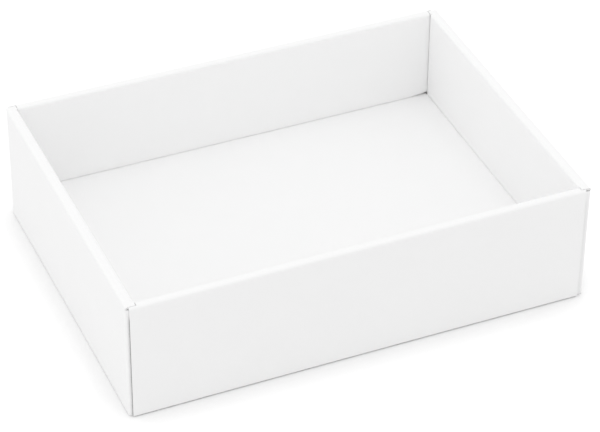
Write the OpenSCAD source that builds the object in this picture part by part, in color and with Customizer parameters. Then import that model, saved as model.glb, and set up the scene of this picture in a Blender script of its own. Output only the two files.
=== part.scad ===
// Open carton tray, folded from one sheet of white board.
// The floor panel carries four linings, which fold up, out over the rims and down
// again as the outside panels. The outside panels are longer than the linings,
// so the floor hangs above the table and the underside is open.
// X runs left to right, Y front to rear, Z up from the table, and the origin
// is at the middle of the footprint.

/* [Tray] */
// Outside length, left to right
tray_l = 315; // [220:1:420]
// Outside depth, front to rear
tray_d = 231; // [170:1:320]
// Height from the table to the top of the rims
tray_h = 85.7; // [50:0.1:140]
// Height of the floor's top face above the table
floor_z = 18.8; // [8:0.1:30]

/* [Board] */
// Thickness of the board
board_t = 1.5; // [1:0.1:2]
// Radius on the inside of each fold
fold_r = 0.3; // [0.2:0.05:0.6]
// Air between two layers of board that lie together
layer_gap = 0.15; // [0.1:0.05:0.3]
// Radius of the scores pressed into the front and rear folds of the floor
score_r = 0.45; // [0.3:0.05:0.6]
// Radius of the lighter scores in the left and right folds of the floor
side_score_r = 0.3; // [0.2:0.05:0.6]

/* [Walls] */
// Air left inside the front and rear walls, beyond their three layers
end_air = 1.05; // [0:0.05:3]
// Air left inside the left and right walls, beyond their three layers
side_air = 2.1; // [0:0.05:4]

/* [Corner flaps] */
// Reach of the outside flaps behind the front and rear panels
outer_flap_l = 45; // [20:1:70]
// Reach of the lining flaps behind the side linings
lining_flap_l = 38; // [20:1:60]
// Size of the corners cut off the free ends of the flaps
flap_chamfer = 6; // [2:0.5:10]

/* [Cuts] */
// Distance from the tray's left corners to the cut ends of the front and rear panels
left_inset = 2.1; // [1.6:0.1:5]
// Distance from the tray's right corners to the other ends of those panels
right_inset = 4.5; // [1.6:0.1:5]
// Gap beside and below each rim, where its board is cut free of its neighbours
rim_gap = 0.3; // [0.2:0.05:0.8]
// Width of the open seam in the inside corners
seam_w = 0.6; // [0.3:0.05:1]
// Height of the lower edges of the front and rear panels above the table
panel_lift = 0.8; // [0:0.1:2]
// Length of the nick at the foot of each inside corner
nick_l = 11; // [4:0.5:15]
// Height of that nick at the corner
nick_h = 1.8; // [1:0.1:5]

/* [Hidden] */
$fn = 48;

// Outside radius of each fold
bend_r = board_t + fold_r;
// Each wall has three layers: the panel, a flap and the lining
layers_w = 3 * board_t + 2 * layer_gap;
end_w = layers_w + end_air;
side_w = layers_w + side_air;
half_l = tray_l / 2;
half_d = tray_d / 2;
// Top of every cut edge that stands below a rim
cut_top = tray_h - bend_r - rim_gap;
// Half length of the flat of the front and rear rims, which ends beside the side rims
end_rim_half = half_l - side_w - rim_gap;
// Ends of the front and rear panels, with the outer folds of their rims
panel_left = -half_l + left_inset;
panel_right = half_l - right_inset;
// Half length of the side rims, which end behind the outer folds of the end rims
side_rim_half = half_d - bend_r - rim_gap;
// Half length of the side linings, which end at the open seams
side_lining_half = half_d - end_w - seam_w;
// Outer faces of the outside flaps, measured from the middle of the tray
flap_face = half_d - board_t - layer_gap;
// Outer faces of the lining flaps, measured from the middle of the tray
lining_flap_face = half_l - side_w + 2 * board_t + layer_gap;
// Height at which the lining flaps and the lining ends start, above the nicks
lining_end_z = floor_z + nick_h;

// Section of one fold: a quarter of a ring, in the first quarter of its circle
module fold_section() {
    intersection() {
        difference() {
            circle(r = bend_r);
            circle(r = fold_r);
        }
        square(bend_r);
    }
}

// Section of a straight run of board, from its near lower corner to its far upper one
module straight_run(near, low, far, high) {
    polygon([[near, low], [far, low], [far, high], [near, high]]);
}

// Section of the fold over a rim's outer edge
module outer_fold() {
    translate([bend_r, tray_h - bend_r]) rotate(90) fold_section();
}

// Section of the flat of a rim, from its outer fold to the given distance from the wall's outside
module rim_flat(reach) {
    straight_run(bend_r, tray_h - board_t, reach, tray_h);
}

// Section of a wall inward of its outer fold: rim, inner fold, lining and the fold to the floor
module lining_section(width) {
    lining_foot = floor_z + fold_r;
    rim_flat(width - bend_r);
    translate([width - bend_r, tray_h - bend_r]) fold_section();
    straight_run(width - board_t, lining_foot, width, tray_h - bend_r);
    translate([width + fold_r, lining_foot]) rotate(180) fold_section();
}

// Outline of a flap that starts at its fold and has two corners cut off its free end
module flap_outline(reach, low, high) {
    polygon([
        [0, low],
        [reach - flap_chamfer, low],
        [reach, low + flap_chamfer],
        [reach, high - flap_chamfer],
        [reach - flap_chamfer, high],
        [0, high]
    ]);
}

// Outside flap at the front left corner, with its upright fold from the side panel
module outer_flap() {
    translate([-half_l + bend_r, -flap_face + bend_r, 0]) {
        rotate(180) linear_extrude(cut_top) fold_section();
        translate([0, board_t - bend_r, 0]) rotate([90, 0, 0]) linear_extrude(board_t)
            flap_outline(outer_flap_l - bend_r, 0, cut_top);
    }
}

// Lining flap at the front left corner, with its upright fold from the front lining
module lining_flap() {
    translate([-lining_flap_face + bend_r, -half_d + end_w + fold_r, 0]) {
        translate([0, 0, lining_end_z]) rotate(180) linear_extrude(cut_top - lining_end_z) fold_section();
        translate([-bend_r, 0, 0]) rotate([90, 0, 90]) linear_extrude(board_t)
            flap_outline(lining_flap_l - bend_r, lining_end_z, cut_top);
    }
}

// Nick at the foot of the front lining's left end, three-cornered, down to the floor
module lining_nick() {
    corner_x = -end_rim_half;
    depth = board_t + 2 * fold_r;
    translate([corner_x, -half_d + end_w + fold_r, floor_z]) rotate([90, 0, 0]) linear_extrude(depth)
        polygon([[-1, 0], [nick_l, 0], [0, nick_h], [-1, nick_h]]);
}

// Front wall, with the ends of its panel and lining and its two lining flaps
module front_wall() {
    lining_reach = lining_flap_face - bend_r;
    difference() {
        translate([-end_rim_half, -half_d, 0]) rotate([90, 0, 90]) linear_extrude(2 * end_rim_half) {
            outer_fold();
            lining_section(end_w);
        }
        for (side = [0, 1]) mirror([side, 0, 0]) lining_nick();
    }
    translate([panel_left, -half_d, 0]) rotate([90, 0, 90]) linear_extrude(panel_right - panel_left) {
        straight_run(0, panel_lift, board_t, tray_h - bend_r);
        outer_fold();
    }
    translate([-lining_reach, -half_d + end_w - board_t, lining_end_z])
        cube([2 * lining_reach, board_t, cut_top - lining_end_z]);
    for (side = [0, 1]) mirror([side, 0, 0]) lining_flap();
}

// Left wall, with the overhanging ends of its rim and its two outside flaps
module left_wall() {
    panel_half = flap_face - bend_r;
    translate([-half_l, side_lining_half, 0]) rotate([90, 0, 0]) linear_extrude(2 * side_lining_half)
        lining_section(side_w);
    translate([-half_l, side_rim_half, 0]) rotate([90, 0, 0]) linear_extrude(2 * side_rim_half) {
        outer_fold();
        rim_flat(side_w);
    }
    translate([-half_l, panel_half, 0]) rotate([90, 0, 0]) linear_extrude(2 * panel_half) {
        straight_run(0, 0, board_t, tray_h - bend_r);
        outer_fold();
    }
    for (end = [0, 1]) mirror([0, end, 0]) outer_flap();
}

// Scores pressed into the four folds around the floor, on the inside of the tray
module floor_scores() {
    for (end = [-1, 1]) translate([-end_rim_half, end * (half_d - end_w), floor_z])
        rotate([0, 90, 0]) cylinder(h = 2 * end_rim_half, r = score_r);
    for (side = [-1, 1]) translate([side * (half_l - side_w), side_lining_half, floor_z])
        rotate([90, 0, 0]) cylinder(h = 2 * side_lining_half, r = side_score_r);
}

// Flat part of the floor panel
module floor_panel() {
    floor_half_l = half_l - side_w - fold_r;
    floor_half_d = half_d - end_w - fold_r;
    translate([-floor_half_l, -floor_half_d, floor_z - board_t])
        cube([2 * floor_half_l, 2 * floor_half_d, board_t]);
}

module tray() {
    color("#f6f5f3") difference() {
        union() {
            floor_panel();
            for (end = [0, 1]) mirror([0, end, 0]) front_wall();
            for (side = [0, 1]) mirror([side, 0, 0]) left_wall();
        }
        floor_scores();
    }
}

tray();
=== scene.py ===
"""Looks of the double-wall carton tray: white board, a pale floor, soft light and the photo's view."""
import math

import bpy
import numpy as np
from mathutils import Matrix, Vector


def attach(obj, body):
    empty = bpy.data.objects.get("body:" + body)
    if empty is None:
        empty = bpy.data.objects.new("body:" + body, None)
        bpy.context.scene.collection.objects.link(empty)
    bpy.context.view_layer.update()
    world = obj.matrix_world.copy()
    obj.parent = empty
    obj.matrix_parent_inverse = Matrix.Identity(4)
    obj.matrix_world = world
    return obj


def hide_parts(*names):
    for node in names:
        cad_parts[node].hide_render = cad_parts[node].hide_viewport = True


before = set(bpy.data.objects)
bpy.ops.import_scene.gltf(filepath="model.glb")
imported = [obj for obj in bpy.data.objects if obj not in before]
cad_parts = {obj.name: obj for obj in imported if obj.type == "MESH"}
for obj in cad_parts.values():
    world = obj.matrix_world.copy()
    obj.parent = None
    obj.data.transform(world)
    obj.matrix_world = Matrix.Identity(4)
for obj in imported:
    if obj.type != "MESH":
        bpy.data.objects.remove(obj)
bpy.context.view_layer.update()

MM = 0.001

# The tray's sizes in millimetres, the same as its solid has them
TRAY_L = 315.0
TRAY_D = 231.0
TRAY_H = 85.7
FLOOR_Z = 18.8
BOARD_T = 1.5
FOLD_R = 0.3
LAYER_GAP = 0.15
END_SCORE_R = 0.45
SIDE_SCORE_R = 0.3
END_AIR = 1.05
SIDE_AIR = 2.1
OUTER_FLAP_L = 45.0
LINING_FLAP_L = 38.0
FLAP_CHAMFER = 6.0
LEFT_INSET = 2.1
RIGHT_INSET = 4.5
RIM_GAP = 0.3
SEAM_W = 0.6
PANEL_LIFT = 0.8
NICK_L = 11.0
NICK_H = 1.8
# The cut at the foot of the side panels slants up to this height at its outer edge
FOOT_SLANT = 0.3

# What follows from them: the outside of a fold, the widths of the walls, and where each part of the
# blank ends
BEND_R = BOARD_T + FOLD_R
END_W = 3 * BOARD_T + 2 * LAYER_GAP + END_AIR
SIDE_W = 3 * BOARD_T + 2 * LAYER_GAP + SIDE_AIR
HALF_L = TRAY_L / 2
HALF_D = TRAY_D / 2
CUT_TOP = TRAY_H - BEND_R - RIM_GAP
END_RIM_HALF = HALF_L - SIDE_W - RIM_GAP
SIDE_RIM_HALF = HALF_D - BEND_R - RIM_GAP
SIDE_LINING_HALF = HALF_D - END_W - SEAM_W
SIDE_PANEL_HALF = HALF_D - BOARD_T - LAYER_GAP - BEND_R
LEFT_END = HALF_L - LEFT_INSET
RIGHT_END = HALF_L - RIGHT_INSET
END_LINING_HALF = HALF_L - SIDE_W + 2 * BOARD_T + LAYER_GAP - BEND_R
NICK_START = END_RIM_HALF - NICK_L

# The eight runs of a wall's section, in their order from the panel's foot to the floor
PANEL, PANEL_TOP, OUTER_FOLD, RIM, INNER_FOLD, LINING_TOP, LINING, FLOOR_FOLD = range(8)

# How the board has settled since it was folded, in millimetres: the walls' inward bow at their middle,
# and the floor's sag
WALL_BOW = 0.35
FLOOR_SAG = 0.4
# Share of the bow that the folded rim holds back at the top
RIM_HOLD = 0.4
# The bow has died out at this distance in from a wall's outside
BOW_DEPTH = 12.0

# Steps round a fold, the widest step along a flat, and the narrow step beside a fold that keeps its
# shading off the flat
FOLD_STEPS = 8
FLAT_STEP = 9.0
HOLD = 0.3
# Places closer than NEAR are one place. Points that agree to WELD_DIGITS are welded
NEAR = 1e-6
STATION_DIGITS = 6
WELD_DIGITS = 3
# Edges that turn by more degrees than this are shaded sharp
SHARP_TURN = 40.0
# How far from a fold its wear, and the painted highlight flecks on it, reach, in millimetres
WEAR_REACH = 2.5

# Millimetres between two flutes of fine-fluted board. A wave texture repeats every pi tenths of its
# scaled length
FLUTE_PITCH = 3.2
WAVE_SCALE = math.pi / (10 * FLUTE_PITCH * MM)

# Cells of noise in a metre: clumps of fibre, painted highlight flecks at a worn fold, torn fluting and
# clouds. Single fibres are too fine to show, so they are drawn coarser, as clumps a little under 1 mm wide
FIBRE_SCALE = 1200.0
FLECK_SCALE = 220.0
TORN_SCALE = 900.0
CLOUD_SCALE = 50.0
# The two noises of the mottle run from its dark to its light between these sums
MOTTLE_DARK = 0.75
MOTTLE_LIGHT = 1.25
# Noise at which a painted highlight fleck starts to show, and at which it is full
FLECK_START = 0.5
FLECK_FULL = 0.68

# Rises in millimetres: ribs on the coated face and on the back, the crushed line at a fold, the tooth
# of the fibres, and the step at a cut between liner and hollow
FACE_RIB_RISE = 0.006
BACK_RIB_RISE = 0.03
CRUSH_RISE = 0.03
TOOTH_RISE = 0.012
HOLLOW_STEP = 0.1

# The cut edge, in shares of the board's thickness: the fluting's swing from the middle, where its line
# is full and where it ends, and where a liner starts and is full, measured from the middle
FLUTE_SWING = 0.3
FLUTE_FULL = 0.06
FLUTE_END = 0.12
LINER_START = 0.34
LINER_FULL = 0.4
# Share of a fold's wear at which the hollow is pressed shut
PRESSED_SHUT = 0.5

# Colours of the coated face and of the back: the mottle's light and dark, and the paler flecks at folds,
# a painted highlight on the crushed board
FACE_LIGHT = "#fbfbfb"
FACE_DARK = "#fafafa"
FACE_FLECK_HIGHLIGHT = "#fcfcfc"
BACK_LIGHT = "#f3f2f0"
BACK_DARK = "#edecea"
BACK_FLECK_HIGHLIGHT = "#f5f5f4"
# Colours of the cut edge: the liners, the flutes' hollow as painted shade, paler and deeper, and hollows
# that the knife crushed
LINER = "#f3f3f3"
HOLLOW_SHADE_PALE = "#8e8e8e"
HOLLOW_SHADE_DEEP = "#727272"
CRUSHED = "#dadada"

# Refraction of paper, how rough each surface is, and the level of the matt faces' gloss, where 0.5 is
# what the refraction alone gives
PAPER_IOR = 1.45
FACE_ROUGHNESS = 0.6
BACK_ROUGHNESS = 0.8
CUT_ROUGHNESS = 0.85
SHEEN_LEVEL = 0.2

# Light: the white surround's level, and the power, place and size of each softbox
TENT_LEVEL = 0.93
TOP_WATTS = 4.0
TOP_PLACE = (0.0, 0.0, 2.4)
TOP_SIZE = 1.4
LEFT_WATTS = 2.2
LEFT_PLACE = (-2.2, 0.0, 0.5)
LEFT_SIZE = 1.0

# The floor's own white, the lift that turns it full white to the eye, and half its width in metres
FLOOR_MATT = 0.86
FLOOR_LIFT = 0.34
FLOOR_HALF = 6.0
# The shade round the tray's foot, partly real and partly painted by holding the lift back where the tray
# blocks the open sky, reaches this far in metres, and deepens with this power
SHADE_REACH = 0.035
SHADE_POWER = 2.0
SHADE_SAMPLES = 16

# The photo's view: the focal length in pixels of a picture PHOTO_W wide, the sensor in millimetres, the
# place in metres, and the angles in degrees
PHOTO_W = 600
FOCAL_PX = 2663.3
SENSOR_W = 36.0
CAMERA_PLACE = (-0.5562, -1.2866, 1.0872)
HEADING = 23.584
PITCH = 37.029
ROLL = 0.569


def linear(code):
    """Turns an sRGB hex colour into linear red, green, blue and alpha."""
    parts = [int(code[i:i + 2], 16) / 255 for i in (1, 3, 5)]
    return tuple(c / 12.92 if c <= 0.04045 else ((c + 0.055) / 1.055) ** 2.4 for c in parts) + (1.0,)


def grey(level):
    """A neutral colour of the given linear level."""
    return (level, level, level, 1.0)


def add(tree, kind, links=None, values=None, **settings):
    """Adds a node to tree, with its settings, the values of its sockets and the sockets that feed it."""
    made = tree.nodes.new(kind)
    for name, value in settings.items():
        setattr(made, name, value)
    for socket, value in (values or {}).items():
        made.inputs[socket].default_value = value
    for socket, source in (links or {}).items():
        tree.links.new(source, made.inputs[socket])
    return made


def new_material(name):
    """An empty node material and its tree."""
    material = bpy.data.materials.new(name)
    material.use_nodes = True
    material.node_tree.nodes.clear()
    return material, material.node_tree


def set_out(name, data):
    """An object of the given name and data, in the scene."""
    made = bpy.data.objects.new(name, data)
    bpy.context.scene.collection.objects.link(made)
    return made


def stations(marks):
    """Even steps of at most FLAT_STEP through the marks, with a narrow step beside each mark."""
    parts = []
    for a, b in zip(marks, marks[1:]):
        parts.append(np.linspace(a, b, max(2, math.ceil(abs(b - a) / FLAT_STEP) + 1)))
        if abs(b - a) > 4 * HOLD:
            parts.append(np.array([a + math.copysign(HOLD, b - a), b - math.copysign(HOLD, b - a)]))
    found = np.unique(np.round(np.concatenate(parts), STATION_DIGITS))
    return found if marks[-1] > marks[0] else found[::-1]


def both_ways(*marks):
    """Stations from the last mark on the left, through the middle, to the last mark on the right."""
    right = stations([0.0, *marks])
    return np.concatenate([-right[:0:-1], right])


def within(places, half):
    """Those of the places that lie no further out than half."""
    return places[np.abs(places) <= half + NEAR]


def run(start, end, start_back, end_back):
    """A flat run of board: its face from start to end, and its back beside it, at the same stations."""
    start, end = np.asarray(start, float), np.asarray(end, float)
    length = np.linalg.norm(end - start)
    share = (stations([0.0, length]) / length)[:, None]
    back = np.asarray(start_back) * (1 - share) + np.asarray(end_back) * share
    return start * (1 - share) + end * share, back


def turn(middle, radius, start, end, count=FOLD_STEPS):
    """Stations on a circle round middle, from the start angle to the end angle in degrees."""
    angle = np.radians(np.linspace(start, end, count + 1))
    return np.stack([middle[0] + radius * np.cos(angle), middle[1] + radius * np.sin(angle)], 1)


def walked(points):
    """Length walked along a row of points up to each of them."""
    return np.concatenate([[0.0], np.cumsum(np.linalg.norm(np.diff(points, axis=0), axis=1))])


def worn(places, folds):
    """Wear that is one at a fold and falls to nothing at WEAR_REACH from the nearest fold."""
    away = np.abs(places[:, None] - folds[None, :]).min(1)
    return np.clip(1 - away / WEAR_REACH, 0, 1)


def wall_parts(width, foot, score_r):
    """The section of a wall as eight runs, from the panel's foot over the rim and down to the floor.

    Each run is a pair of point rows (inward, up), face and back. The rim's folds turn on circles round one
    point, the face at BEND_R and the back at FOLD_R. At the floor the face dips round the score's circle.
    """
    top = TRAY_H - BEND_R
    outer, inner = (BEND_R, top), (width - BEND_R, top)
    under = TRAY_H - BOARD_T
    behind = width - BOARD_T
    return [
        run((0, foot), (0, CUT_TOP), (BOARD_T, foot), (BOARD_T, CUT_TOP)),
        run((0, CUT_TOP), (0, top), (BOARD_T, CUT_TOP), (BOARD_T, top)),
        (turn(outer, BEND_R, 180, 90), turn(outer, FOLD_R, 180, 90)),
        run((BEND_R, TRAY_H), (width - BEND_R, TRAY_H), (BEND_R, under), (width - BEND_R, under)),
        (turn(inner, BEND_R, 90, 0), turn(inner, FOLD_R, 90, 0)),
        run((width, top), (width, CUT_TOP), (behind, top), (behind, CUT_TOP)),
        run((width, CUT_TOP), (width, FLOOR_Z + score_r), (behind, CUT_TOP), (behind, FLOOR_Z + FOLD_R)),
        (turn((width, FLOOR_Z), score_r, 90, 360, 2 * FOLD_STEPS),
         turn((width + FOLD_R, FLOOR_Z + FOLD_R), BEND_R, 180, 270, 2 * FOLD_STEPS)),
    ]


class Blank:
    """The folded sheet while it is put together from grids of points, each on the face and on the back."""

    def __init__(self):
        self.rows = []
        self.cells = []
        self.count = 0

    def patch(self, face, back, flat, wear):
        """Adds a grid with the face and back points, their place on the flat sheet, and the wear there."""
        data = np.concatenate([face, back, flat, wear[..., None]], 2)
        at = np.arange(data.shape[0] * data.shape[1]).reshape(data.shape[:2]) + self.count
        cell = np.stack([at[:-1, :-1], at[1:, :-1], at[1:, 1:], at[:-1, 1:]], 2)
        self.rows.append(data.reshape(at.size, -1))
        self.cells.append(cell.reshape(-1, 4))
        self.count += at.size


class Wall:
    """One wall of the blank. Its points are (along, inward, up), turned by angle and set out by half.

    At angle 0 it is the front wall, with along running to the right and inward to the rear.
    """

    def __init__(self, blank, angle, half, width, foot, score_r):
        self.blank = blank
        self.turned = np.array([[math.cos(angle), math.sin(angle)], [-math.sin(angle), math.cos(angle)]])
        self.half = half
        self.edge = half - width - score_r
        self.parts = wall_parts(width, foot, score_r)
        lengths = [walked((face + back) / 2) for face, back in self.parts]
        ends = np.cumsum([length[-1] for length in lengths])
        # How far out from the floor's edge each station lies on the flat sheet
        self.out = [ends[-1] - (end - length[-1]) - length for end, length in zip(ends, lengths)]
        folds = np.concatenate([self.out[OUTER_FOLD], self.out[INNER_FOLD], self.out[FLOOR_FOLD]])
        self.wear = [worn(out, folds) for out in self.out]

    def place(self, along, inward, up):
        """Turns (along, inward, up) into the tray's own x, y and z."""
        plan = np.stack([along, inward - self.half], -1) @ self.turned
        return np.concatenate([plan, up[..., None]], -1)

    def put(self, face, back, along, out, wear):
        """Adds a grid given as (along, inward, up) arrays to the blank."""
        flat = np.stack([along, -(self.edge + out)], -1) @ self.turned
        self.blank.patch(self.place(*face), self.place(*back), flat, wear)

    def sweep(self, along, first, last):
        """Carries the runs first to last of the section straight along the wall."""
        ones = np.ones_like(along)[:, None]
        for part in range(first, last + 1):
            face, back = self.parts[part]
            row = np.ones(len(face))[None, :]
            self.put([along[:, None] * row, ones * face[:, 0], ones * face[:, 1]],
                     [along[:, None] * row, ones * back[:, 0], ones * back[:, 1]],
                     along[:, None] * row, ones * self.out[part], ones * self.wear[part])

    def upright(self, part, along, lows, flap, concave):
        """Carries a flat run along the wall and round an upright fold at each end into a flap.

        Beyond the fold the flap runs inward. Its height is drawn in by FLAP_CHAMFER over the same length at
        its free end. lows gives the lower end of the face and of the back at each station of the wall.
        """
        face = self.parts[part][0]
        face_r, back_r = (FOLD_R, BEND_R) if concave else (BEND_R, FOLD_R)
        middle = face[0, 0] + face_r
        angle = np.radians(np.linspace(0, 90, FOLD_STEPS + 1))[1:]
        reach = stations([0.0, flap - FLAP_CHAMFER, flap])[1:]
        arc = (FOLD_R + BOARD_T / 2) * angle
        sides = []
        for radius in (face_r, back_r):
            bend = np.stack([along[-1] + radius * np.sin(angle), middle - radius * np.cos(angle)], 1)
            free = np.stack([np.full_like(reach, along[-1] + radius), middle + reach], 1)
            right = np.concatenate([bend, free])
            straight = np.stack([along, np.full_like(along, middle - radius)], 1)
            sides.append(np.concatenate([right[::-1] * (-1, 1), straight, right]))
        beyond = np.concatenate([along[-1] + arc, along[-1] + arc[-1] + reach])
        flat = np.concatenate([-beyond[::-1], along, beyond])
        trim = np.maximum(np.concatenate([0 * arc, reach - flap + FLAP_CHAMFER]), 0)
        trim = np.concatenate([trim[::-1], 0 * along, trim])
        low_face, low_back = (np.pad(low, len(beyond), mode="edge") + trim for low in lows)
        high = CUT_TOP - trim
        base = face[:, 1].min()
        share = (face[:, 1] - base) / (CUT_TOP - base)
        row = np.ones(len(share))[None, :]
        up = [low[:, None] + (high - low)[:, None] * share for low in (low_face, low_back)]
        near = worn(np.abs(flat), np.concatenate([[along[-1]], along[-1] + arc]))
        wear = np.maximum(near[:, None] * row, self.wear[part] * (trim == 0)[:, None])
        self.put([sides[0][:, :1] * row, sides[0][:, 1:] * row, up[0]],
                 [sides[1][:, :1] * row, sides[1][:, 1:] * row, up[1]],
                 flat[:, None] * row, self.out[part] * np.ones((len(flat), 1)), wear)


def floor_stations(along, last, half, score_r):
    """The floor's stations, for its face and for its back.

    They are the wall's own as far as last, and beyond that they run on to the edge, which for the face is
    where the score starts and for the back is where the fold starts.
    """
    inside = within(along, last)
    edge = stations([last, half - score_r])[1:]
    face = np.concatenate([-edge[::-1], inside, edge])
    back = face.copy()
    back[0], back[-1] = -(half - FOLD_R), half - FOLD_R
    return face, back


def end_wall(blank, angle, near_end, far_end):
    """Front or rear wall: outside panel, rim, lining with a flap at each end, and the fold to the floor.

    The panel reaches from near_end, on the wall's left, to far_end, both measured from its middle. At each
    end of the floor's fold the lining's foot rises in a straight line to NICK_H, over the floor's flat
    edge.
    """
    wall = Wall(blank, angle, HALF_D, END_W, PANEL_LIFT, END_SCORE_R)
    along = both_ways(NICK_START, END_RIM_HALF, END_LINING_HALF)
    near = -stations([END_LINING_HALF, near_end])[:0:-1]
    far = stations([END_LINING_HALF, far_end])[1:]
    wall.sweep(np.concatenate([near, along, far]), PANEL, OUTER_FOLD)
    wall.sweep(within(along, END_RIM_HALF), RIM, LINING_TOP)
    nick = FLOOR_Z + NICK_H * np.clip((np.abs(along) - NICK_START) / NICK_L, 0, 1)
    lows = [np.maximum(FLOOR_Z + END_SCORE_R, nick), np.maximum(FLOOR_Z + FOLD_R, nick)]
    wall.upright(LINING, along, lows, LINING_FLAP_L - BEND_R, True)
    wall.sweep(within(along, NICK_START), FLOOR_FOLD, FLOOR_FOLD)
    floor_x, back_x = floor_stations(along, NICK_START, HALF_L - SIDE_W, SIDE_SCORE_R)
    inward = np.array([END_W - BOARD_T, END_W + END_SCORE_R])
    inward_back = np.array([END_W - BOARD_T, END_W + FOLD_R])
    for side in (-1, 1):
        ends = floor_x * side >= NICK_START - NEAR
        ones = np.ones((ends.sum(), 2))
        wall.put([floor_x[ends][:, None] * ones, ones * inward, ones * FLOOR_Z],
                 [back_x[ends][:, None] * ones, ones * inward_back, ones * (FLOOR_Z - BOARD_T)],
                 floor_x[ends][:, None] * ones, ones * (END_W + END_SCORE_R - inward), 0 * ones)
    return along


def side_wall(blank, angle):
    """Left or right wall: outside panel with a flap at each end, overhanging rim, lining and floor fold."""
    wall = Wall(blank, angle, HALF_L, SIDE_W, 0.0, SIDE_SCORE_R)
    along = both_ways(SIDE_LINING_HALF, SIDE_PANEL_HALF, SIDE_RIM_HALF)
    panel = within(along, SIDE_PANEL_HALF)
    wall.upright(PANEL, panel, [0 * panel + FOOT_SLANT, 0 * panel], OUTER_FLAP_L - BEND_R, False)
    wall.sweep(panel, PANEL_TOP, PANEL_TOP)
    wall.sweep(along, OUTER_FOLD, RIM)
    wall.sweep(within(along, SIDE_LINING_HALF), INNER_FOLD, FLOOR_FOLD)
    inward = np.array([SIDE_W - BEND_R, SIDE_W])
    out = wall.out[INNER_FOLD][0] - (inward - inward[0])
    for side in (-1, 1):
        ends = along[along * side >= SIDE_LINING_HALF - NEAR]
        ones = np.ones((len(ends), 2))
        wall.put([ends[:, None] * ones, ones * inward, ones * TRAY_H],
                 [ends[:, None] * ones, ones * inward, ones * (TRAY_H - BOARD_T)],
                 ends[:, None] * ones, ones * out, ones)
    return along


def whole_blank():
    """The four walls and the floor as one Blank, each patch at its place on the folded tray."""
    blank = Blank()
    end_along = end_wall(blank, 0, LEFT_END, RIGHT_END)
    end_wall(blank, math.pi, RIGHT_END, LEFT_END)
    side_along = side_wall(blank, math.pi / 2)
    side_wall(blank, -math.pi / 2)
    face_x, back_x = floor_stations(end_along, NICK_START, HALF_L - SIDE_W, SIDE_SCORE_R)
    face_y, back_y = floor_stations(side_along, SIDE_LINING_HALF, HALF_D - END_W, END_SCORE_R)
    face = np.stack(np.meshgrid(face_x, face_y, [FLOOR_Z], indexing="ij"), -1)[:, :, 0]
    back = np.stack(np.meshgrid(back_x, back_y, [FLOOR_Z - BOARD_T], indexing="ij"), -1)[:, :, 0]
    blank.patch(face, back, face[..., :2], np.zeros(face.shape[:2]))
    return blank


def settled(points):
    """Moves points in millimetres as the board has settled.

    A wall bows inward by WALL_BOW times one minus the square of the share of the way from its middle to its
    end, less towards the rim. The floor sags by the product of two such curves.
    """
    x, y, z = points.T
    lean = 1 - RIM_HOLD * z / TRAY_H
    share_x = np.clip((np.abs(x) - HALF_L + BOW_DEPTH) / (BOW_DEPTH - SIDE_W), 0, 1)
    share_y = np.clip((np.abs(y) - HALF_D + BOW_DEPTH) / (BOW_DEPTH - END_W), 0, 1)
    bow_x = WALL_BOW * np.clip(1 - (y / HALF_D) ** 2, 0, 1) * share_x * lean
    bow_y = WALL_BOW * np.clip(1 - (x / HALF_L) ** 2, 0, 1) * share_y * lean
    dish_x = np.clip(1 - (x / (HALF_L - SIDE_W - SIDE_SCORE_R)) ** 2, 0, 1)
    dish_y = np.clip(1 - (y / (HALF_D - END_W - END_SCORE_R)) ** 2, 0, 1)
    moved = [x - np.sign(x) * bow_x, y - np.sign(y) * bow_y, z - FLOOR_SAG * dish_x * dish_y]
    return np.stack(moved, 1)


def folded_board():
    """The whole tray as one closed sheet: the patches welded along their shared edges, and cut all round.

    A row holds a face point, its back point, its place on the flat sheet and its wear. Every edge of the
    face that only one cell has is a cut, and gets a four-cornered strip down to the back. The UV map is the
    flat sheet's own plan in metres, and the material slots are the face, the back and the cut edge.
    """
    blank = whole_blank()
    rows = np.concatenate(blank.rows)
    cells = np.concatenate(blank.cells)
    corners = np.round(rows[:, :6], WELD_DIGITS) + 0.0
    _, first, weld = np.unique(corners, axis=0, return_index=True, return_inverse=True)
    rows = rows[first]
    cells = weld.reshape(-1)[cells]
    count = len(rows)
    start = cells.reshape(-1)
    end = np.roll(cells, -1, axis=1).reshape(-1)
    lone = ~np.isin(start * count + end, end * count + start)
    start, end = start[lone], end[lone]
    cuts = np.stack([end, start, start + count, end + count], 1)
    faces = np.concatenate([cells, cells[:, ::-1] + count, cuts])

    points = np.concatenate([settled(rows[:, :3]), settled(rows[:, 3:6])]) * MM
    mesh = bpy.data.meshes.new("folded_board")
    mesh.from_pydata(points.tolist(), [], faces.tolist())
    mesh.polygons.foreach_set("material_index", np.repeat([0, 1, 2], [len(cells), len(cells), len(cuts)]))
    plan = np.tile(rows[:, 6:8], (2, 1)) * MM
    mesh.uv_layers.new(name="flat_sheet").data.foreach_set("uv", plan[faces.reshape(-1)].reshape(-1))
    wear = mesh.attributes.new("fold_wear", "FLOAT", "POINT")
    wear.data.foreach_set("value", np.tile(rows[:, 8], 2))
    depth = mesh.attributes.new("depth", "FLOAT", "POINT")
    depth.data.foreach_set("value", np.repeat([0.0, 1.0], count))
    way = np.abs(plan[start] - plan[end])
    across = np.zeros(len(faces))
    across[2 * len(cells):] = way[:, 0] > way[:, 1]
    crossing = mesh.attributes.new("across_flutes", "FLOAT", "FACE")
    crossing.data.foreach_set("value", across)
    mesh.validate()
    mesh.shade_smooth()
    mesh.set_sharp_from_angle(angle=math.radians(SHARP_TURN))
    return set_out("folded_board", mesh)


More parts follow.
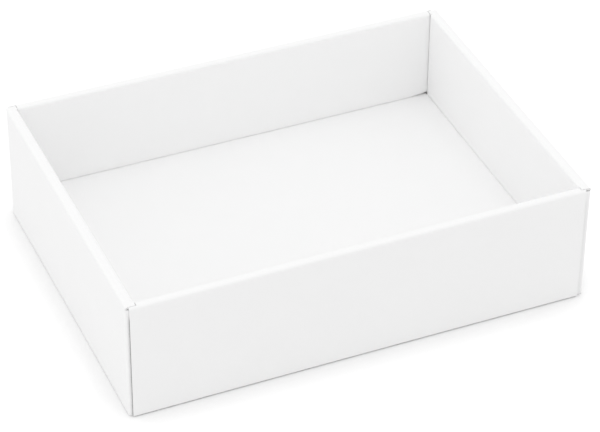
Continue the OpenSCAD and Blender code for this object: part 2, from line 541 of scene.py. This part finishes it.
def coat_and_fibres(tree, light, dark, fleck_highlight):
    """Colour and height of paper: fibre clumps, 20 mm clouds, and painted highlight flecks at folds."""
    place = add(tree, "ShaderNodeTexCoord")
    fibres = add(tree, "ShaderNodeTexNoise", {"Vector": place.outputs["Object"]},
                 {"Scale": FIBRE_SCALE, "Detail": 3.0, "Roughness": 0.6})
    clouds = add(tree, "ShaderNodeTexNoise", {"Vector": place.outputs["Object"]},
                 {"Scale": CLOUD_SCALE, "Detail": 3.0, "Roughness": 0.5})
    both = add(tree, "ShaderNodeMath", {0: fibres.outputs["Fac"], 1: clouds.outputs["Fac"]},
               operation="ADD")
    share = add(tree, "ShaderNodeMapRange", {"Value": both.outputs["Value"]},
                {"From Min": MOTTLE_DARK, "From Max": MOTTLE_LIGHT})
    mottle = add(tree, "ShaderNodeMix", {0: share.outputs["Result"]},
                 {"A": linear(dark), "B": linear(light)}, data_type="RGBA")
    flecks = add(tree, "ShaderNodeTexNoise", {"Vector": place.outputs["Object"]},
                 {"Scale": FLECK_SCALE, "Detail": 2.0, "Roughness": 0.7})
    sharp = add(tree, "ShaderNodeMapRange", {"Value": flecks.outputs["Fac"]},
                {"From Min": FLECK_START, "From Max": FLECK_FULL})
    fold = add(tree, "ShaderNodeAttribute", attribute_name="fold_wear")
    # Where the fleck noise meets a fold's wear, the paper is painted paler: a painted highlight on the
    # crushed fold
    wear = add(tree, "ShaderNodeMath", {0: sharp.outputs["Result"], 1: fold.outputs["Fac"]},
               operation="MULTIPLY")
    colour = add(tree, "ShaderNodeMix", {0: wear.outputs["Value"], "A": mottle.outputs["Result"]},
                 {"B": linear(fleck_highlight)}, data_type="RGBA")
    return colour, fibres, flecks, fold


def paper(name, light, dark, fleck_highlight, roughness, rib_rise):
    """A paper face over fine flutes: its mottle, a tooth of fibres, faint ribs, and a crushed line at folds.

    The ribs are a sine across the flat sheet with the flutes' own pitch of 3.2 mm. At a fold the board is
    crushed, so there a coarser, uneven rise lies over the ribs.
    """
    material, tree = new_material(name)
    colour, fibres, flecks, fold = coat_and_fibres(tree, light, dark, fleck_highlight)
    sheet = add(tree, "ShaderNodeUVMap", uv_map="flat_sheet")
    ribs = add(tree, "ShaderNodeTexWave", {"Vector": sheet.outputs["UV"]}, {"Scale": WAVE_SCALE})
    rib_bump = add(tree, "ShaderNodeBump", {"Height": ribs.outputs["Fac"]},
                   {"Strength": 1.0, "Distance": rib_rise * MM})
    crush = add(tree, "ShaderNodeMath", {0: flecks.outputs["Fac"], 1: fold.outputs["Fac"]},
                operation="MULTIPLY")
    crush_bump = add(tree, "ShaderNodeBump",
                     {"Height": crush.outputs["Value"], "Normal": rib_bump.outputs["Normal"]},
                     {"Strength": 1.0, "Distance": CRUSH_RISE * MM})
    tooth = add(tree, "ShaderNodeBump",
                {"Height": fibres.outputs["Fac"], "Normal": crush_bump.outputs["Normal"]},
                {"Strength": 1.0, "Distance": TOOTH_RISE * MM})
    shader = add(tree, "ShaderNodeBsdfPrincipled",
                 {"Base Color": colour.outputs["Result"], "Normal": tooth.outputs["Normal"]},
                 {"Roughness": roughness, "IOR": PAPER_IOR, "Specular IOR Level": SHEEN_LEVEL})
    add(tree, "ShaderNodeOutputMaterial", {"Surface": shader.outputs["BSDF"]})
    return material


def fluting_line(tree, depth, crossing):
    """One on the line of the fluting where a cut crosses it, and nothing elsewhere.

    The line is a sine of the way along the sheet, FLUTE_SWING high round the middle of the thickness.
    """
    sheet = add(tree, "ShaderNodeUVMap", uv_map="flat_sheet")
    plan = add(tree, "ShaderNodeSeparateXYZ", {"Vector": sheet.outputs["UV"]})
    turns = add(tree, "ShaderNodeMath", {0: plan.outputs["X"]}, {1: 2 * math.pi / (FLUTE_PITCH * MM)},
                operation="MULTIPLY")
    swing = add(tree, "ShaderNodeMath", {0: turns.outputs["Value"]}, operation="SINE")
    line = add(tree, "ShaderNodeMath", {0: swing.outputs["Value"]}, {1: FLUTE_SWING, 2: 0.5},
               operation="MULTIPLY_ADD")
    off = add(tree, "ShaderNodeMath", {0: depth.outputs["Fac"], 1: line.outputs["Value"]},
              operation="SUBTRACT")
    away = add(tree, "ShaderNodeMath", {0: off.outputs["Value"]}, operation="ABSOLUTE")
    fluting = add(tree, "ShaderNodeMapRange", {"Value": away.outputs["Value"]},
                  {"From Min": FLUTE_FULL, "From Max": FLUTE_END, "To Min": 1.0, "To Max": 0.0})
    return add(tree, "ShaderNodeMath", {0: fluting.outputs["Result"], 1: crossing.outputs["Fac"]},
               operation="MULTIPLY")


def cut_edge():
    """The die-cut edge of the board: pale liners at both faces, and between them the flutes' hollow in
    painted shade.

    Where the cut crosses the flutes the fluting shows as a sine line between the liners. Where it runs along
    them it shows as an uneven grey wall of painted shade. At a fold the liners are pressed together and the
    hollow is gone.
    """
    material, tree = new_material("cut_fluted_edge")
    depth = add(tree, "ShaderNodeAttribute", attribute_name="depth")
    crossing = add(tree, "ShaderNodeAttribute", attribute_name="across_flutes")
    shown = fluting_line(tree, depth, crossing)
    mid = add(tree, "ShaderNodeMath", {0: depth.outputs["Fac"]}, {1: 0.5}, operation="SUBTRACT")
    side = add(tree, "ShaderNodeMath", {0: mid.outputs["Value"]}, operation="ABSOLUTE")
    liner = add(tree, "ShaderNodeMapRange", {"Value": side.outputs["Value"]},
                {"From Min": LINER_START, "From Max": LINER_FULL})
    solid = add(tree, "ShaderNodeMath", {0: shown.outputs["Value"], 1: liner.outputs["Result"]},
                operation="MAXIMUM")
    place = add(tree, "ShaderNodeTexCoord")
    torn = add(tree, "ShaderNodeTexNoise", {"Vector": place.outputs["Object"]},
               {"Scale": TORN_SCALE, "Detail": 3.0, "Roughness": 0.6})
    # Painted shade of the flutes' hollow, paler and deeper at random
    hollow = add(tree, "ShaderNodeMix", {0: torn.outputs["Fac"]},
                 {"A": linear(HOLLOW_SHADE_DEEP), "B": linear(HOLLOW_SHADE_PALE)}, data_type="RGBA")
    between = add(tree, "ShaderNodeMix", {0: crossing.outputs["Fac"], "A": hollow.outputs["Result"]},
                  {"B": linear(CRUSHED)}, data_type="RGBA")
    fold = add(tree, "ShaderNodeAttribute", attribute_name="fold_wear")
    closed = add(tree, "ShaderNodeMapRange", {"Value": fold.outputs["Fac"]},
                 {"From Min": 0.0, "From Max": PRESSED_SHUT})
    pressed = add(tree, "ShaderNodeMix", {0: closed.outputs["Result"], "A": between.outputs["Result"]},
                  {"B": linear(LINER)}, data_type="RGBA")
    colour = add(tree, "ShaderNodeMix", {0: solid.outputs["Value"], "A": pressed.outputs["Result"]},
                 {"B": linear(LINER)}, data_type="RGBA")
    bump = add(tree, "ShaderNodeBump", {"Height": solid.outputs["Value"]},
               {"Strength": 1.0, "Distance": HOLLOW_STEP * MM})
    shader = add(tree, "ShaderNodeBsdfPrincipled",
                 {"Base Color": colour.outputs["Result"], "Normal": bump.outputs["Normal"]},
                 {"Roughness": CUT_ROUGHNESS, "IOR": PAPER_IOR})
    add(tree, "ShaderNodeOutputMaterial", {"Surface": shader.outputs["BSDF"]})
    return material


def seen_by(tree):
    """One for rays from the camera and for those that gloss or glass sends on, and nothing for others."""
    path = add(tree, "ShaderNodeLightPath")
    gloss = add(tree, "ShaderNodeMath", {0: path.outputs["Is Camera Ray"], 1: path.outputs["Is Glossy Ray"]},
                operation="MAXIMUM")
    return add(tree, "ShaderNodeMath", {0: gloss.outputs["Value"], 1: path.outputs["Is Transmission Ray"]},
               operation="MAXIMUM")


def pale_floor():
    """Matt white floor, seen lifted to white, apart from real and painted shade round the tray's foot."""
    material, tree = new_material("white_floor")
    seen = seen_by(tree)
    matt = add(tree, "ShaderNodeBsdfDiffuse", values={"Color": grey(FLOOR_MATT)})
    # Painted shade: the lift fades near the tray with its ambient occlusion
    open_sky = add(tree, "ShaderNodeAmbientOcclusion", values={"Distance": SHADE_REACH},
                   samples=SHADE_SAMPLES)
    clear = add(tree, "ShaderNodeMath", {0: open_sky.outputs["AO"]}, {1: SHADE_POWER}, operation="POWER")
    lift = add(tree, "ShaderNodeMath", {0: clear.outputs["Value"], 1: seen.outputs["Value"]},
               operation="MULTIPLY")
    glow = add(tree, "ShaderNodeEmission", {"Strength": lift.outputs["Value"]},
               {"Color": grey(FLOOR_LIFT)})
    both = add(tree, "ShaderNodeAddShader", {0: matt.outputs["BSDF"], 1: glow.outputs["Emission"]})
    add(tree, "ShaderNodeOutputMaterial", {"Surface": both.outputs["Shader"]})
    mesh = bpy.data.meshes.new("floor")
    half = FLOOR_HALF
    corners = [(-half, -half, 0), (half, -half, 0), (half, half, 0), (-half, half, 0)]
    mesh.from_pydata(corners, [], [(0, 1, 2, 3)])
    mesh.materials.append(material)
    set_out("floor", mesh)


def photo_camera():
    """The photo's view: a pinhole camera, turned by its heading, its pitch down and its roll."""
    heading, pitch, roll = math.radians(HEADING), math.radians(PITCH), math.radians(ROLL)
    reach = math.cos(pitch)
    forward = Vector((math.sin(heading) * reach, math.cos(heading) * reach, -math.sin(pitch)))
    level = forward.cross(Vector((0, 0, 1))).normalized()
    upright = level.cross(forward)
    right = level * math.cos(roll) + upright * math.sin(roll)
    up = upright * math.cos(roll) - level * math.sin(roll)
    data = bpy.data.cameras.new("photo_camera")
    data.sensor_width = SENSOR_W
    data.lens = FOCAL_PX * SENSOR_W / PHOTO_W
    camera = set_out("photo_camera", data)
    turned = Matrix((right, up, -forward)).transposed().to_4x4()
    camera.matrix_world = Matrix.Translation(Vector(CAMERA_PLACE)) @ turned
    bpy.context.scene.camera = camera


def softbox(name, place, size, watts):
    """A square area lamp at place, turned to face the middle of the tray's footprint."""
    data = bpy.data.lights.new(name, "AREA")
    data.shape = "SQUARE"
    data.size = size
    data.energy = watts
    lamp = set_out(name, data)
    lamp.location = place
    lamp.rotation_euler = (-Vector(place)).to_track_quat("-Z", "Y").to_euler()


def light_tent():
    """An even white surround, which the eye sees as full white, and softboxes above and to the left."""
    world = bpy.data.worlds.new("white_tent")
    bpy.context.scene.world = world
    world.use_nodes = True
    tree = world.node_tree
    tree.nodes.clear()
    seen = seen_by(tree)
    level = add(tree, "ShaderNodeMapRange", {"Value": seen.outputs["Value"]},
                {"To Min": TENT_LEVEL, "To Max": 1.0})
    sky = add(tree, "ShaderNodeBackground", {"Strength": level.outputs["Result"]}, {"Color": grey(1.0)})
    add(tree, "ShaderNodeOutputWorld", {"Surface": sky.outputs["Background"]})
    softbox("top_softbox", TOP_PLACE, TOP_SIZE, TOP_WATTS)
    softbox("left_softbox", LEFT_PLACE, LEFT_SIZE, LEFT_WATTS)


bpy.context.scene.view_settings.view_transform = "Standard"
photo_camera()
light_tent()
pale_floor()

board = folded_board()
# White clay-coated liner: an even, matt white with next to no sheen, and ribs too faint to count
board.data.materials.append(
    paper("white_lined_board", FACE_LIGHT, FACE_DARK, FACE_FLECK_HIGHLIGHT, FACE_ROUGHNESS, FACE_RIB_RISE))
# Bare liner of the reverse: a little greyer and warmer, rougher, and with plainer ribs
board.data.materials.append(
    paper("uncoated_back", BACK_LIGHT, BACK_DARK, BACK_FLECK_HIGHLIGHT, BACK_ROUGHNESS, BACK_RIB_RISE))
board.data.materials.append(cut_edge())
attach(board, "root")
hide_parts("tray")
